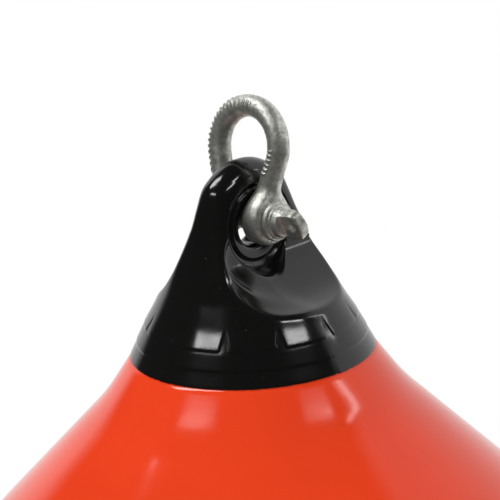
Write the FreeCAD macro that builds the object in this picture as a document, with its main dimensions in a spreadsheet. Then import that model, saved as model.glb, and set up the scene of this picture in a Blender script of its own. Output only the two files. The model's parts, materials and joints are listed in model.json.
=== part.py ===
"""An inflatable marker buoy with a moulded rope-eye head and a screw-pin anchor shackle.

The buoy hangs from the crown of the shackle's bow, which is the origin. +Z is up and X runs
along the shackle's pin. The head and the float are drawn in their own frame, whose zero height
is the lower edge of the head's skirt.
"""

import FreeCAD, Part
import math
import os

import Sketcher

V = FreeCAD.Vector

# Driving dimensions: millimetres, and degrees where the name says slope, lean or turn
SIZES = [
    ("wire_diameter", 12.7, "round stock of the shackle's bow"),
    ("pin_diameter", 16.0, "shank of the shackle's pin"),
    ("jaw_width", 20.6, "gap between the two ears"),
    ("ear_diameter", 30.2, "round eye at each end of the bow"),
    ("ear_thickness", 13.8, "each ear, along the pin"),
    ("ear_neck_width", 13.8, "ear where it runs into its leg"),
    ("ear_neck_length", 1.0, "straight end of that"),
    ("ear_rounding", 4.4, "forged rounding of the ears' rims"),
    ("ear_neck_rounding", 10.0, "hollow between an ear and its leg"),
    ("bow_inside_width", 33.3, "widest opening of the bow"),
    ("bow_inside_length", 47.8, "from the pin's surface to the crown"),
    ("leg_straight", 12.0, "height above the pin at which a leg starts to spread"),
    ("leg_bend_radius", 25.0, "bend at the foot of a leg"),
    ("bow_lean", 10.5, "lean of the bow about the pin, away from plumb"),
    ("pin_bore_clearance", 0.75, "radial clearance of the pin in the plain ear"),
    ("thread_clearance", 0.06, "radial clearance of the pin in the threaded ear"),
    ("pin_tip", 2.5, "pin beyond the threaded ear"),
    ("pin_tip_chamfer", 1.5, "chamfer at the pin's end"),
    ("collar_diameter", 23.0, "collar that bears on the plain ear"),
    ("collar_thickness", 3.4, "collar along the pin"),
    ("collar_rounding", 0.9, "rounded rims of the collar"),
    ("ring_diameter", 19.6, "narrower ring against the collar"),
    ("ring_thickness", 1.3, "ring along the pin"),
    ("neck_diameter", 17.4, "pin between its collar and its paddle"),
    ("neck_length", 4.2, "neck along the pin"),
    ("paddle_length", 13.0, "flat head of the pin, along the pin"),
    ("paddle_root", 14.0, "height of the paddle at the neck"),
    ("paddle_height", 19.0, "height of the paddle at its widest"),
    ("paddle_bulge", 3.0, "rounded end of the paddle"),
    ("paddle_corner", 2.5, "rounded corners of the paddle's outline"),
    ("paddle_rounding", 1.0, "edges of the paddle"),
    ("paddle_hole_offset", 6.5, "hole from the paddle's root"),
    ("paddle_thickness", 7.0, "across the paddle's flats"),
    ("paddle_hole", 5.5, "hole through the paddle"),
    ("paddle_turn", 28.0, "turn of the paddle about the pin"),
    ("eye_diameter", 25.0, "throat of the rope eye"),
    ("eye_height", 76.0, "centre of the eye above the skirt's edge"),
    ("eye_mouth_rounding", 5.0, "rounding of the eye's mouth"),
    ("pin_gap", 0.3, "gap between the pin and the top of the eye"),
    ("jaw_clearance", 0.4, "gap between each ear and the eye's boss"),
    ("boss_diameter", 43.0, "raised ring round the eye"),
    ("boss_height", 1.4, "boss above the groove round it"),
    ("hollow_diameter", 54.0, "round hollow that holds the ears"),
    ("hollow_rounding", 2.5, "corner at the hollow's floor"),
    ("fin_thickness", 23.0, "head above the scoops, across the eye"),
    ("scoop_start", 81.0, "height at which the scoop leaves the fin's side"),
    ("scoop_start_radius", 60.0, "bend there"),
    ("scoop_slope", 18.0, "upper part of the scoop, from vertical"),
    ("scoop_bend_height", 62.0, "height at which the scoop starts to sweep outwards"),
    ("scoop_radius", 50.0, "sweep of the scoop"),
    ("scoop_foot_slope", 78.0, "foot of the scoop, from vertical"),
    ("fin_rounding", 6.0, "rounding of the fin's edges at the top"),
    ("rim_rounding", 1.4, "rounding of the scoop's edge lower down"),
    ("dish_thickness", 21.2, "fin between the two dished floors"),
    ("dish_bend_height", 57.8, "corner of the dished floor"),
    ("dish_bend_radius", 15.0, "bend of the dished floor"),
    ("dish_slope", 47.1, "lower part of the dished floor, from vertical"),
    ("dish_lobe_radius", 24.0, "rounded lower corners of the dish"),
    ("dish_lobe_offset", 8.0, "centre of a lower corner, from the middle"),
    ("dish_lobe_height", 52.5, "centre of a lower corner above the skirt's edge"),
    ("dish_rounding", 3.5, "rounding between the dish's wall and floor"),
    ("skirt_radius", 71.7, "lower edge of the skirt"),
    ("skirt_slope", 31.5, "skirt, from vertical"),
    ("skirt_edge", 1.0, "thickness of the skirt's lower edge"),
    ("band_height", 8.6, "glossy band at the foot of the skirt"),
    ("notch_line_height", 18.5, "lower edge of the notched tier"),
    ("tier_rise", 0.7, "each tier stands proud of the one below"),
    ("notch_width", 6.0, "foot of a V notch"),
    ("notch_height", 11.0, "height of a V notch"),
    ("notch_tip", 0.4, "width of a notch's point"),
    ("bend_height", 34.0, "skirt turns into the head's cone"),
    ("bend_radius", 60.0, "that bend"),
    ("cone_slope", 24.3, "head's cone, from vertical"),
    ("flank_height", 78.0, "cone turns into the steeper flank"),
    ("flank_bend_radius", 150.0, "that bend"),
    ("flank_slope", 16.2, "flank, from vertical"),
    ("shoulder_radius", 13.0, "flank rounds into the dome"),
    ("dome_inset", 16.26, "radius of the dome less than the head's at its bend"),
    ("crown_rise", 37.5, "top of the head above the eye's centre"),
    ("neck_slope", 33.0, "float's neck inside the skirt, from vertical"),
    ("neck_shoulder_height", 17.0, "end of the neck's cone"),
    ("neck_top_height", 25.0, "closed top of the float's neck"),
    ("float_diameter", 445.0, "widest part of the float"),
    ("float_wall", 3.5, "blown vinyl wall"),
    ("float_flank_slope", 35.0, "float just below the skirt, from vertical"),
    ("float_flank_length", 18.0, "height of that cone"),
    ("float_spread_slope", 45.0, "float's flank before the ball, from vertical"),
    ("float_spread_radius", 130.0, "hollow bend between the two cones"),
    ("valve_body_diameter", 26.0, "valve seat through the wall"),
    ("valve_flange_diameter", 36.0, "seat's flange inside the float"),
    ("valve_flange_thickness", 3.0, "seat's flange"),
    ("valve_depth", 17.0, "seat from its outer face"),
    ("valve_barrel_diameter", 16.0, "threaded barrel behind the flange"),
    ("valve_recess_diameter", 20.0, "recess for the plug's head"),
    ("valve_recess_depth", 4.2, "recess for the plug's head"),
    ("plug_diameter", 10.0, "threaded shank of the plug"),
    ("plug_thread_clearance", 0.06, "radial clearance of the plug's shank"),
    ("plug_length", 11.0, "threaded shank of the plug"),
    ("plug_head_diameter", 18.0, "slotted head of the plug"),
    ("plug_head_thickness", 2.2, "slotted head of the plug"),
    ("plug_edge", 0.6, "chamfers of the plug"),
    ("plug_slot_width", 1.8, "screwdriver slot"),
    ("plug_slot_depth", 1.1, "screwdriver slot"),
    ("seal_section", 1.8, "round section of the seal under the plug's head"),
    ("seal_clearance", 0.05, "gap between the seal and what it bears on"),
]

NOTCHES = 12
# How far a cutting shape reaches past what it cuts
CLEAR = 10


class Size:
    """A length or an angle as a number, with the expression that keeps it tied to the sheet."""

    def __init__(self, value, text):
        self.value = value
        self.text = text

    def __add__(self, other):
        other = as_size(other)
        return Size(self.value + other.value, "({} + {})".format(self.text, other.text))

    def __radd__(self, other):
        return as_size(other) + self

    def __sub__(self, other):
        other = as_size(other)
        return Size(self.value - other.value, "({} - {})".format(self.text, other.text))

    def __rsub__(self, other):
        return as_size(other) - self

    def __mul__(self, other):
        other = as_size(other)
        return Size(self.value * other.value, "({} * {})".format(self.text, other.text))

    def __rmul__(self, other):
        return as_size(other) * self

    def __truediv__(self, other):
        other = as_size(other)
        return Size(self.value / other.value, "({} / {})".format(self.text, other.text))

    def __neg__(self):
        return 0 - self


def as_size(number):
    return number if isinstance(number, Size) else Size(float(number), repr(float(number)))


def sine(angle):
    return Size(math.sin(math.radians(angle.value)), "sin({} * 1 deg)".format(angle.text))


def cosine(angle):
    return Size(math.cos(math.radians(angle.value)), "cos({} * 1 deg)".format(angle.text))


def tangent(angle):
    return Size(math.tan(math.radians(angle.value)), "tan({} * 1 deg)".format(angle.text))


def root(size):
    return Size(math.sqrt(size.value), "sqrt({})".format(size.text))


class Sheet:
    """The spreadsheet, with each alias readable as a Size."""

    def __init__(self, doc):
        sheet = doc.addObject("Spreadsheet::Sheet", "Sizes")
        for row, (alias, value, note) in enumerate(SIZES, start=1):
            sheet.set("A{}".format(row), note)
            sheet.set("B{}".format(row), repr(value))
            sheet.setAlias("B{}".format(row), alias)
        doc.recompute()
        for alias, _, _ in SIZES:
            setattr(self, alias, Size(float(sheet.get(alias)), "Sizes." + alias))


def bind(thing, **sizes):
    for name, size in sizes.items():
        setattr(thing, name, size.value)
        thing.setExpression(name, size.text)


def place(thing, x=0, y=0, z=0, axis=None, turn=None):
    """Place an object by Sizes, turned about an axis through its own origin."""
    here = [as_size(v) for v in (x, y, z)]
    rotation = FreeCAD.Rotation(axis, turn.value) if axis else thing.Placement.Rotation
    thing.Placement = FreeCAD.Placement(V(*[v.value for v in here]), rotation)
    for name, v in zip("xyz", here):
        thing.setExpression("Placement.Base." + name, v.text)
    if axis:
        thing.setExpression("Placement.Rotation.Angle", turn.text)


class Outline:
    """A closed or open run of lines and arcs in a sketch, each corner tied to the sheet."""

    def __init__(self, sketch, start):
        self.sketch = sketch
        self.corners = [start]
        self.edges = []

    def line(self, x, y):
        self.edges.append(None)
        self.corners.append((x, y))
        return self

    def arc(self, x, y, radius, turn):
        """Arc to a corner: turn is 1 when it bends anticlockwise, -1 clockwise."""
        self.edges.append((radius, turn))
        self.corners.append((x, y))
        return self

    def finish(self, closed=True):
        sketch = self.sketch
        if closed:
            self.edges.append(None)
            ends = self.corners + [self.corners[0]]
        else:
            ends = self.corners
        first = sketch.GeometryCount
        for (ax, ay), (bx, by), edge in zip(ends, ends[1:], self.edges):
            a, b = [V(as_size(x).value, as_size(y).value, 0) for x, y in ((ax, ay), (bx, by))]
            if edge is None:
                sketch.addGeometry(Part.LineSegment(a, b))
            else:
                sketch.addGeometry(arc_between(a, b, *edge))
        count = len(self.edges)
        for index in range(count - (0 if closed else 1)):
            here = first + index
            after = first + (index + 1) % count
            sketch.addConstraint(Sketcher.Constraint(
                "Coincident", here, self.end_of(index, last=True), after,
                self.end_of((index + 1) % count, last=False)))
        for index, (x, y) in enumerate(self.corners):
            edge = min(index, count - 1)
            last = index >= count
            self.fix(first + edge, self.end_of(edge, last), as_size(x), as_size(y))
        for index, edge in enumerate(self.edges):
            if edge is not None:
                radius = as_size(edge[0])
                name = sketch.addConstraint(
                    Sketcher.Constraint("Radius", first + index, radius.value))
                sketch.setExpression("Constraints[{}]".format(name), radius.text)
        return sketch

    def end_of(self, index, last):
        """Which end of a drawn edge is its start or its finish: arcs are kept anticlockwise."""
        edge = self.edges[index]
        swapped = edge is not None and edge[1] < 0
        return (1 if swapped else 2) if last else (2 if swapped else 1)

    def fix(self, edge, end, x, y):
        for kind, size in (("DistanceX", x), ("DistanceY", y)):
            if abs(size.value) < 1e-9:
                axis = -2 if kind == "DistanceX" else -1
                self.sketch.addConstraint(Sketcher.Constraint("PointOnObject", edge, end, axis))
                continue
            number = self.sketch.addConstraint(
                Sketcher.Constraint(kind, -1, 1, edge, end, size.value))
            self.sketch.setExpression("Constraints[{}]".format(number), size.text)


def arc_between(a, b, radius, turn):
    """Arc of a radius from a to b that bends anticlockwise (1) or clockwise (-1)."""
    radius = as_size(radius).value
    half = (b - a) / 2
    rise = math.sqrt(max(radius ** 2 - half.Length ** 2, 0))
    side = V(-half.y, half.x, 0).normalize()
    centre = a + half + side * rise * turn
    bulge = centre - side * radius * turn
    return Part.Arc(a, bulge, b) if turn > 0 else Part.Arc(b, bulge, a)


def tilted(slope, length):
    """Step along a line that leans from vertical by a slope: how far it moves sideways."""
    return length * tangent(slope)


def sketch_in(doc, name, plane):
    """A free sketch in the XZ or YZ plane, with its own upright axis along Z."""
    sketch = doc.addObject("Sketcher::SketchObject", name)
    upright = FreeCAD.Rotation(V(1, 0, 0), 90)
    if plane == "YZ":
        upright = FreeCAD.Rotation(V(0, 0, 1), 90) * upright
    sketch.Placement = FreeCAD.Placement(V(0, 0, 0), upright)
    return sketch


def body_sketch(body, name, plane):
    """A sketch of a body, attached to one of its own origin planes."""
    sketch = body.newObject("Sketcher::SketchObject", name)
    support = [p for p in body.Origin.OriginFeatures if p.Role == plane][0]
    sketch.AttachmentSupport = (support, [""])
    sketch.MapMode = "FlatFace"
    return sketch


def origin_plane(body, role):
    return [p for p in body.Origin.OriginFeatures if p.Role == role][0]


def new_body(doc, name):
    body = doc.addObject("PartDesign::Body", name)
    body.Label = name
    doc.recompute()
    return body


def revolved(doc, name, sketch, axis=V(0, 0, 1)):
    turn = doc.addObject("Part::Revolution", name)
    turn.Source = sketch
    turn.Axis = axis
    turn.Angle = 360
    turn.Solid = True
    return turn


def extruded(doc, name, sketch, direction, length):
    push = doc.addObject("Part::Extrusion", name)
    push.Base = sketch
    push.DirMode = "Custom"
    push.Dir = direction
    push.Solid = True
    push.Symmetric = True
    bind(push, LengthFwd=length)
    return push


def cut(doc, name, base, tool):
    result = doc.addObject("Part::Cut", name)
    result.Base = base
    result.Tool = tool
    return result


def common(doc, name, first, second):
    result = doc.addObject("Part::MultiCommon", name)
    result.Shapes = [first, second]
    return result


def fused(doc, name, pieces):
    result = doc.addObject("Part::MultiFuse", name)
    result.Shapes = pieces
    return result


def mirrored_in_x(doc, name, source):
    result = doc.addObject("Part::Mirroring", name)
    result.Source = source
    result.Normal = V(1, 0, 0)
    return result


def arc_sine(ratio):
    return Size(math.degrees(math.asin(ratio.value)), "(asin({}) / 1 deg)".format(ratio.text))


def arc_tangent(ratio):
    return Size(math.degrees(math.atan(ratio.value)), "(atan({}) / 1 deg)".format(ratio.text))


def bend(outline, x, z, slope_below, slope_above, radius):
    """Round a corner between two lines that lean inwards as they rise."""
    reach = radius * tangent((slope_below - slope_above) / 2)
    outline.line(x + reach * sine(slope_below), z - reach * cosine(slope_below))
    outline.arc(x - reach * sine(slope_above), z + reach * cosine(slope_above), radius, -1)


def work_out_places(s):
    """Lengths that several pieces share."""
    s.pin_radius = s.pin_diameter / 2
    s.crown_reach = s.bow_inside_length + s.pin_radius
    s.pin_y = -s.crown_reach * sine(s.bow_lean)
    s.pin_z = -s.crown_reach * cosine(s.bow_lean)
    s.crown_height = s.eye_height + s.crown_rise
    s.pin_height = s.eye_height + s.eye_diameter / 2 - s.pin_gap - s.pin_radius
    s.head_z = s.pin_z - s.pin_height
    s.ear_inner = s.jaw_width / 2
    s.ear_outer = s.ear_inner + s.ear_thickness
    s.ear_middle = s.ear_inner + s.ear_thickness / 2
    s.neck_radius_low = s.skirt_radius - s.skirt_edge
    s.neck_radius_high = s.neck_radius_low - tilted(s.neck_slope, s.neck_shoulder_height)
    s.float_radius = s.float_diameter / 2
    s.flank_end_x = s.neck_radius_low + tilted(s.float_flank_slope, s.float_flank_length)
    s.spread_x = s.flank_end_x + s.float_spread_radius * (
        cosine(s.float_flank_slope) - cosine(s.float_spread_slope))
    s.spread_z = -s.float_flank_length + s.float_spread_radius * (
        sine(s.float_flank_slope) - sine(s.float_spread_slope))
    s.ball_x = s.float_radius * cosine(s.float_spread_slope)
    s.ball_z = s.spread_z - (s.ball_x - s.spread_x) / tangent(s.float_spread_slope)
    s.ball_centre = s.ball_z - s.float_radius * sine(s.float_spread_slope)
    s.float_bottom = s.ball_centre - s.float_radius


def crown_arc_radius(half_width, rise):
    return (half_width * half_width + rise * rise) / (2 * rise)


def make_shackle_bow(doc, s):
    body = new_body(doc, "shackle_bow")
    radius = s.bow_inside_width / 2 + s.wire_diameter / 2
    middle = s.crown_reach + s.wire_diameter / 2 - radius
    across = s.ear_middle + s.leg_bend_radius
    rise = middle - s.leg_straight
    span = root(across * across + rise * rise)
    slope = arc_tangent(rise / across) + arc_sine((radius + s.leg_bend_radius) / span) - 90

    ear = body_sketch(body, "ear_outline", "YZ_Plane")
    ear.AttachmentOffset = FreeCAD.Placement(V(0, 0, s.ear_inner.value), FreeCAD.Rotation())
    ear.setExpression("AttachmentOffset.Base.z", s.ear_inner.text)
    round_ear_outline(ear, s)
    pad = body.newObject("PartDesign::Pad", "ear")
    pad.Profile = ear
    bind(pad, Length=s.ear_thickness)
    doc.recompute()
    rims = body.newObject("PartDesign::Fillet", "ear_rims")
    rims.Base = (pad, rim_edges(pad.Shape))
    bind(rims, Radius=s.ear_rounding)
    other = body.newObject("PartDesign::Mirrored", "both_ears")
    other.Originals = [pad, rims]
    other.MirrorPlane = (origin_plane(body, "YZ_Plane"), [""])
    body.Tip = other
    doc.recompute()

    path = body_sketch(body, "bow_path", "XZ_Plane")
    spread_x = s.ear_middle + s.leg_bend_radius * (1 - cosine(slope))
    spread_z = s.leg_straight + s.leg_bend_radius * sine(slope)
    bow = Outline(path, (s.ear_middle, as_size(0)))
    bow.line(s.ear_middle, s.leg_straight)
    bow.arc(spread_x, spread_z, s.leg_bend_radius, -1)
    bow.line(radius * cosine(slope), middle - radius * sine(slope))
    bow.arc(as_size(0), middle + radius, radius, 1)
    bow.arc(-radius * cosine(slope), middle - radius * sine(slope), radius, 1)
    bow.line(-spread_x, spread_z)
    bow.arc(-s.ear_middle, s.leg_straight, s.leg_bend_radius, -1)
    bow.line(-s.ear_middle, as_size(0))
    bow.finish(closed=False)
    section = body_sketch(body, "wire_section", "XY_Plane")
    add_circle(section, s.ear_middle, 0, s.wire_diameter / 2)
    doc.recompute()
    pipe = body.newObject("PartDesign::AdditivePipe", "bow")
    pipe.Profile = section
    pipe.Spine = (path, ["Edge{}".format(n + 1) for n in range(path.GeometryCount)])
    doc.recompute()

    for name, clearance, side in (("plain_bore", s.pin_bore_clearance, 1),
                                  ("threaded_bore", s.thread_clearance, -1)):
        bore = body_sketch(body, name + "_outline", "YZ_Plane")
        add_circle(bore, 0, 0, s.pin_radius + clearance)
        hole = body.newObject("PartDesign::Pocket", name)
        hole.Profile = bore
        hole.Reversed = side > 0
        bind(hole, Length=s.ear_outer + s.wire_diameter)
        doc.recompute()
    place(body, 0, s.pin_y, s.pin_z, V(1, 0, 0), -s.bow_lean)
    return body


def round_ear_outline(sketch, s):
    """A round eye that narrows, through two hollows, to the width of its leg."""
    half = s.ear_neck_width / 2
    radius = s.ear_diameter / 2
    hollow = s.ear_neck_rounding
    reach = radius + hollow
    hollow_height = root(reach * reach - (half + hollow) * (half + hollow))
    touch_y = (half + hollow) * radius / reach
    touch_z = hollow_height * radius / reach
    top = hollow_height + s.ear_neck_length
    ear = Outline(sketch, (half, top))
    ear.line(half, hollow_height)
    ear.arc(touch_y, touch_z, hollow, 1)
    ear.arc(as_size(0), -radius, radius, -1)
    ear.arc(-touch_y, touch_z, radius, -1)
    ear.arc(-half, hollow_height, hollow, 1)
    ear.line(-half, top)
    ear.finish()


def rim_edges(shape):
    """The edges that run round the two flat faces of a padded plate."""
    names = []
    for number, edge in enumerate(shape.Edges, start=1):
        box = edge.BoundBox
        if box.XLength < 1e-6:
            names.append("Edge{}".format(number))
    return names


def add_circle(sketch, x, y, radius):
    x, y = as_size(x), as_size(y)
    circle = sketch.addGeometry(Part.Circle(V(x.value, y.value, 0), V(0, 0, 1), radius.value))
    number = sketch.addConstraint(Sketcher.Constraint("Radius", circle, radius.value))
    sketch.setExpression("Constraints[{}]".format(number), radius.text)
    if abs(x.value) < 1e-9 and abs(y.value) < 1e-9:
        sketch.addConstraint(Sketcher.Constraint("Coincident", circle, 3, -1, 1))
        return
    for kind, size, axis in (("DistanceX", x, -2), ("DistanceY", y, -1)):
        if abs(size.value) < 1e-9:
            sketch.addConstraint(Sketcher.Constraint("PointOnObject", circle, 3, axis))
            continue
        number = sketch.addConstraint(
            Sketcher.Constraint(kind, -1, 1, circle, 3, size.value))
        sketch.setExpression("Constraints[{}]".format(number), size.text)


def make_shackle_pin(doc, s):
    tip = s.ear_outer + s.pin_tip
    collar_end = s.ear_outer + s.collar_thickness
    ring_end = collar_end + s.ring_thickness
    neck_end = ring_end + s.neck_length
    turned = Outline(sketch_in(doc, "pin_section", "XZ"), (-tip, as_size(0)))
    turned.line(-tip, s.pin_radius - s.pin_tip_chamfer)
    turned.line(s.pin_tip_chamfer - tip, s.pin_radius)
    turned.line(s.ear_outer, s.pin_radius)
    turned.line(s.ear_outer, s.collar_diameter / 2 - s.collar_rounding)
    turned.arc(s.ear_outer + s.collar_rounding, s.collar_diameter / 2, s.collar_rounding, -1)
    turned.line(collar_end - s.collar_rounding, s.collar_diameter / 2)
    turned.arc(collar_end, s.collar_diameter / 2 - s.collar_rounding, s.collar_rounding, -1)
    turned.line(collar_end, s.ring_diameter / 2)
    turned.line(ring_end, s.ring_diameter / 2)
    turned.line(ring_end, s.neck_diameter / 2)
    turned.line(neck_end, s.neck_diameter / 2)
    turned.line(neck_end, as_size(0))
    shank = revolved(doc, "pin_shank", turned.finish(), V(1, 0, 0))

    tail = neck_end + s.paddle_length
    cheek = tail - s.paddle_bulge
    flat = Outline(sketch_in(doc, "paddle_outline", "XZ"), (ring_end, -s.paddle_root / 2))
    flat.line(cheek, -s.paddle_height / 2)
    flat.arc(tail, as_size(0), crown_arc_radius(s.paddle_height / 2, s.paddle_bulge), 1)
    flat.arc(cheek, s.paddle_height / 2,
             crown_arc_radius(s.paddle_height / 2, s.paddle_bulge), 1)
    flat.line(ring_end, s.paddle_root / 2)
    paddle = extruded(doc, "paddle", flat.finish(), V(0, 1, 0), s.paddle_thickness)
    drill = doc.addObject("Part::Cylinder", "paddle_drill")
    bind(drill, Radius=s.paddle_hole / 2, Height=s.neck_diameter)
    drill.Placement = FreeCAD.Placement(V(0, 0, 0), FreeCAD.Rotation(V(1, 0, 0), 90))
    drill.setExpression("Placement.Base.x", (neck_end + s.paddle_hole_offset).text)
    drill.setExpression("Placement.Base.y", (s.neck_diameter / 2).text)
    doc.recompute()
    corners = doc.addObject("Part::Fillet", "paddle_corners")
    corners.Base = paddle
    turn = s.paddle_corner.value
    corners.Edges = [(n, turn, turn) for n, e in enumerate(paddle.Shape.Edges, start=1)
                     if e.BoundBox.YLength > 1 and abs(e.BoundBox.XMax - cheek.value) < 1e-3]
    doc.recompute()
    soft = doc.addObject("Part::Fillet", "paddle_edges")
    soft.Base = corners
    edge = s.paddle_rounding.value
    soft.Edges = [(n, edge, edge) for n, e in enumerate(corners.Shape.Edges, start=1)
                  if e.BoundBox.YLength < 1e-6 and e.BoundBox.XMax > ring_end.value + 1]
    whole = fused(doc, "pin_forging", [shank, soft])
    pin = cut(doc, "shackle_pin", whole, drill)
    pin.Label = "shackle_pin"
    place(pin, 0, s.pin_y, s.pin_z, V(1, 0, 0), s.paddle_turn)
    return pin


def skirt_at(s, height, steps):
    """Radius of the skirt at a height, on the tier that stands so many steps proud."""
    return s.skirt_radius + steps * s.tier_rise - tilted(s.skirt_slope, height)


def head_section(doc, s):
    outline = Outline(sketch_in(doc, "head_section", "XZ"), (s.neck_radius_low, as_size(0)))
    outline.line(s.skirt_radius, as_size(0))
    for step, height in enumerate((s.band_height, s.notch_line_height)):
        outline.line(skirt_at(s, height, step), height)
        outline.line(skirt_at(s, height, step + 1), height)
    bend_x = skirt_at(s, s.bend_height, 2)
    bend(outline, bend_x, s.bend_height, s.skirt_slope, s.cone_slope, s.bend_radius)
    flank_x = bend_x - tilted(s.cone_slope, s.flank_height - s.bend_height)
    bend(outline, flank_x, s.flank_height, s.cone_slope, s.flank_slope, s.flank_bend_radius)

    dome_radius = bend_x - s.dome_inset
    dome_z = s.crown_height - dome_radius
    inside = dome_radius - s.shoulder_radius
    from_x = flank_x - s.shoulder_radius * cosine(s.flank_slope)
    from_z = s.flank_height - s.shoulder_radius * sine(s.flank_slope) - dome_z
    along = from_z * cosine(s.flank_slope) - from_x * sine(s.flank_slope)
    climb = root(along * along - from_x * from_x - from_z * from_z + inside * inside) - along
    shoulder_x = from_x - climb * sine(s.flank_slope)
    shoulder_z = from_z + climb * cosine(s.flank_slope)
    outline.line(shoulder_x + s.shoulder_radius * cosine(s.flank_slope),
                 dome_z + shoulder_z + s.shoulder_radius * sine(s.flank_slope))
    outline.arc(shoulder_x * dome_radius / inside,
                dome_z + shoulder_z * dome_radius / inside, s.shoulder_radius, 1)
    outline.arc(as_size(0), s.crown_height, dome_radius, 1)
    outline.line(as_size(0), s.neck_top_height)
    outline.arc(s.neck_radius_high, s.neck_shoulder_height, neck_crown(s), -1)
    return outline.finish()


def neck_crown(s):
    return crown_arc_radius(s.neck_radius_high, s.neck_top_height - s.neck_shoulder_height)


def scoop_tool(doc, s):
    """What a scoop takes off one side of the head: everything outside a swept profile."""
    half = s.fin_thickness / 2
    far = s.skirt_radius + CLEAR
    start_x = half + tilted(s.scoop_slope, s.scoop_start - s.scoop_bend_height)
    centre_x = start_x + s.scoop_radius * cosine(s.scoop_slope)
    centre_z = s.scoop_bend_height + s.scoop_radius * sine(s.scoop_slope)
    foot_x = centre_x - s.scoop_radius * cosine(s.scoop_foot_slope)
    foot_z = centre_z - s.scoop_radius * sine(s.scoop_foot_slope)
    reach = s.scoop_start_radius * tangent(s.scoop_slope / 2)
    side = Outline(sketch_in(doc, "scoop_outline", "XZ"), (half, s.crown_height + CLEAR))
    side.line(half, s.scoop_start + reach)
    side.arc(half + reach * sine(s.scoop_slope), s.scoop_start - reach * cosine(s.scoop_slope),
             s.scoop_start_radius, 1)
    side.line(start_x, s.scoop_bend_height)
    side.arc(foot_x, foot_z, s.scoop_radius, 1)
    side.line(far, foot_z - (far - foot_x) / tangent(s.scoop_foot_slope))
    side.line(far, s.crown_height + CLEAR)
    return extruded(doc, "scoop", side.finish(), V(0, 1, 0), 2 * far)


def dish_tool(doc, s):
    """The dished floor: a rounded pocket whose floor bends outwards below the eye."""
    half = s.dish_thickness / 2
    far = s.skirt_radius + CLEAR
    reach = s.dish_bend_radius * tangent(s.dish_slope / 2)
    floor = Outline(sketch_in(doc, "dish_floor", "XZ"), (half, s.crown_height + CLEAR))
    floor.line(half, s.dish_bend_height + reach)
    floor.arc(half + reach * sine(s.dish_slope), s.dish_bend_height - reach * cosine(s.dish_slope),
              s.dish_bend_radius, 1)
    floor.line(far, s.dish_bend_height - (far - half) / tangent(s.dish_slope))
    floor.line(far, s.crown_height + CLEAR)
    above_floor = extruded(doc, "above_dish_floor", floor.finish(), V(0, 1, 0), 2 * far)
    rim = belt(sketch_in(doc, "dish_rim", "YZ"), [
        (as_size(0), s.eye_height, s.hollow_diameter / 2),
        (-s.dish_lobe_offset, s.dish_lobe_height, s.dish_lobe_radius),
        (s.dish_lobe_offset, s.dish_lobe_height, s.dish_lobe_radius)])
    inside_rim = extruded(doc, "inside_dish_rim", rim, V(1, 0, 0), 2 * far)
    pocket = common(doc, "dish_pocket", above_floor, inside_rim)
    doc.recompute()
    soft = doc.addObject("Part::Fillet", "dish")
    soft.Base = pocket
    radius = s.dish_rounding.value
    soft.Edges = [(n, radius, radius) for n in floor_edges(pocket.Shape)]
    return soft


def floor_edges(shape):
    """Numbers of the edges between the dish's floor and its wall."""
    chosen = []
    for number, edge in enumerate(shape.Edges, start=1):
        middle = edge.valueAt((edge.FirstParameter + edge.LastParameter) / 2)
        normals = []
        for face in shape.ancestorsOfType(edge, Part.Face):
            u, v = face.Surface.parameter(middle)
            normals.append(face.normalAt(u, v))
        wall = [n for n in normals if abs(n.x) < 1e-3]
        floor = [n for n in normals if abs(n.y) < 1e-3 and n.x < -1e-3]
        if wall and floor:
            chosen.append(number)
    return chosen


def belt(sketch, circles):
    """A closed outline stretched round circles that are given anticlockwise."""
    ends = []
    for (ax, ay, ar), (bx, by, br) in zip(circles, circles[1:] + circles[:1]):
        gap = V(bx.value - ax.value, by.value - ay.value, 0)
        lean = math.asin((ar.value - br.value) / gap.Length)
        heading = math.atan2(gap.y, gap.x) - math.pi / 2 + lean
        out = V(math.cos(heading), math.sin(heading), 0)
        ends.append((V(ax.value, ay.value, 0) + out * ar.value,
                     V(bx.value, by.value, 0) + out * br.value, heading))
    count = len(circles)
    for index, (x, y, radius) in enumerate(circles):
        before, after = ends[index - 1][2], ends[index][2]
        if after < before:
            after += 2 * math.pi
        ring = Part.Circle(V(x.value, y.value, 0), V(0, 0, 1), radius.value)
        sketch.addGeometry(Part.ArcOfCircle(ring, before, after))
    for start, end, _ in ends:
        sketch.addGeometry(Part.LineSegment(start, end))
    for index, (x, y, radius) in enumerate(circles):
        sketch.addConstraint(Sketcher.Constraint("Tangent", index, 2, count + index, 1))
        sketch.addConstraint(
            Sketcher.Constraint("Tangent", count + index, 2, (index + 1) % count, 1))
        number = sketch.addConstraint(Sketcher.Constraint("Radius", index, radius.value))
        sketch.setExpression("Constraints[{}]".format(number), radius.text)
        for kind, size, axis in (("DistanceX", x, -2), ("DistanceY", y, -1)):
            if abs(size.value) < 1e-9:
                sketch.addConstraint(Sketcher.Constraint("PointOnObject", index, 3, axis))
                continue
            number = sketch.addConstraint(
                Sketcher.Constraint(kind, -1, 1, index, 3, size.value))
            sketch.setExpression("Constraints[{}]".format(number), size.text)
    return sketch


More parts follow.
